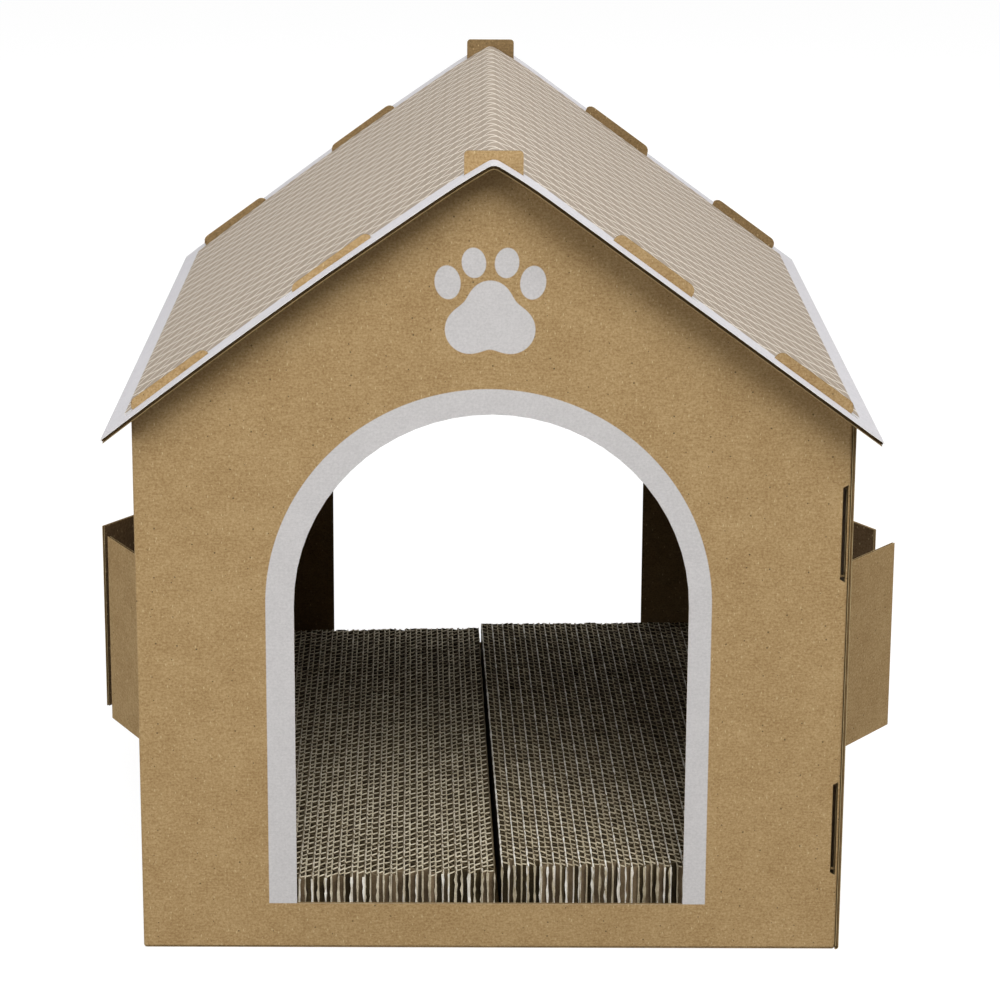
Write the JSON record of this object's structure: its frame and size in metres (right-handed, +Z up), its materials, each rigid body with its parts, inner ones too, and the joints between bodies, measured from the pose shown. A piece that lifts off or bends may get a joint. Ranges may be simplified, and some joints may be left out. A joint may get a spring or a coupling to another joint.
{
  "type": "cardboard cat house",
  "caption": "Cardboard cat house with a gabled lift-off roof, arched doorways front and back, shuttered side windows and corrugated scratch pads on the floor.",
  "frame": {"origin": "on the ground, under the middle of the floor panel", "axes": "+Z up, the front with the paw print faces -Y, +X to the right seen from the front"},
  "size_m": [0.4556, 0.486, 0.4181],
  "materials": {
    "kraft_board": "matte",
    "kraft_board_inside": "matte",
    "printed_roof_board": "matte",
    "scratch_pad_board": "matte"
  },
  "bodies": {
    "house": {"front_wall": "kraft_board", "back_wall": "kraft_board", "left_wall": "kraft_board", "right_wall": "kraft_board", "lock_flap": "kraft_board_inside", "lower_lock_tongue": "kraft_board_inside", "upper_lock_tongue": "kraft_board_inside", "floor_panel": "kraft_board_inside", "left_floor_flap": "kraft_board_inside", "right_floor_flap": "kraft_board_inside", "back_floor_flap": "kraft_board_inside"},
    "roof_left": {"roof_left": "printed_roof_board"},
    "roof_right": {"roof_right": "printed_roof_board"},
    "left_front_shutter": {"left_front_shutter": "kraft_board"},
    "left_rear_shutter": {"left_rear_shutter": "kraft_board"},
    "right_front_shutter": {"right_front_shutter": "kraft_board"},
    "right_rear_shutter": {"right_rear_shutter": "kraft_board"},
    "left_scratch_pad": {"left_scratch_pad": "scratch_pad_board"},
    "right_scratch_pad": {"right_scratch_pad": "scratch_pad_board"}
  },
  "joints": [
    {"name": "roof_lift", "type": "slide", "parent": "house", "child": "roof_left", "axis": [0, 0, 1], "range_m": [0, 0.15]},
    {"name": "ridge_fold", "type": "hinge", "parent": "roof_left", "child": "roof_right", "pos_m": [0, 0, 0.4139], "axis": [0, -1, 0], "range_deg": [0, 72]},
    {"name": "left_front_crease", "type": "hinge", "parent": "house", "child": "left_front_shutter", "pos_m": [-0.18, -0.083, 0.107], "axis": [0, 0, 1], "range_deg": [-27.8, 137.2]},
    {"name": "left_rear_crease", "type": "hinge", "parent": "house", "child": "left_rear_shutter", "pos_m": [-0.18, 0.083, 0.107], "axis": [0, 0, -1], "range_deg": [-32.3, 132.7]},
    {"name": "right_front_crease", "type": "hinge", "parent": "house", "child": "right_front_shutter", "pos_m": [0.1819, -0.083, 0.107], "axis": [0, 0, -1], "range_deg": [-36.6, 128.4]},
    {"name": "right_rear_crease", "type": "hinge", "parent": "house", "child": "right_rear_shutter", "pos_m": [0.1819, 0.083, 0.107], "axis": [0, 0, 1], "range_deg": [-30.6, 134.4]},
    {"name": "left_pad_lift", "type": "slide", "parent": "house", "child": "left_scratch_pad", "axis": [0, 0, 1], "range_m": [0, 0.2]},
    {"name": "right_pad_lift", "type": "slide", "parent": "house", "child": "right_scratch_pad", "axis": [0, 0, 1], "range_m": [0, 0.2]}
  ]
}
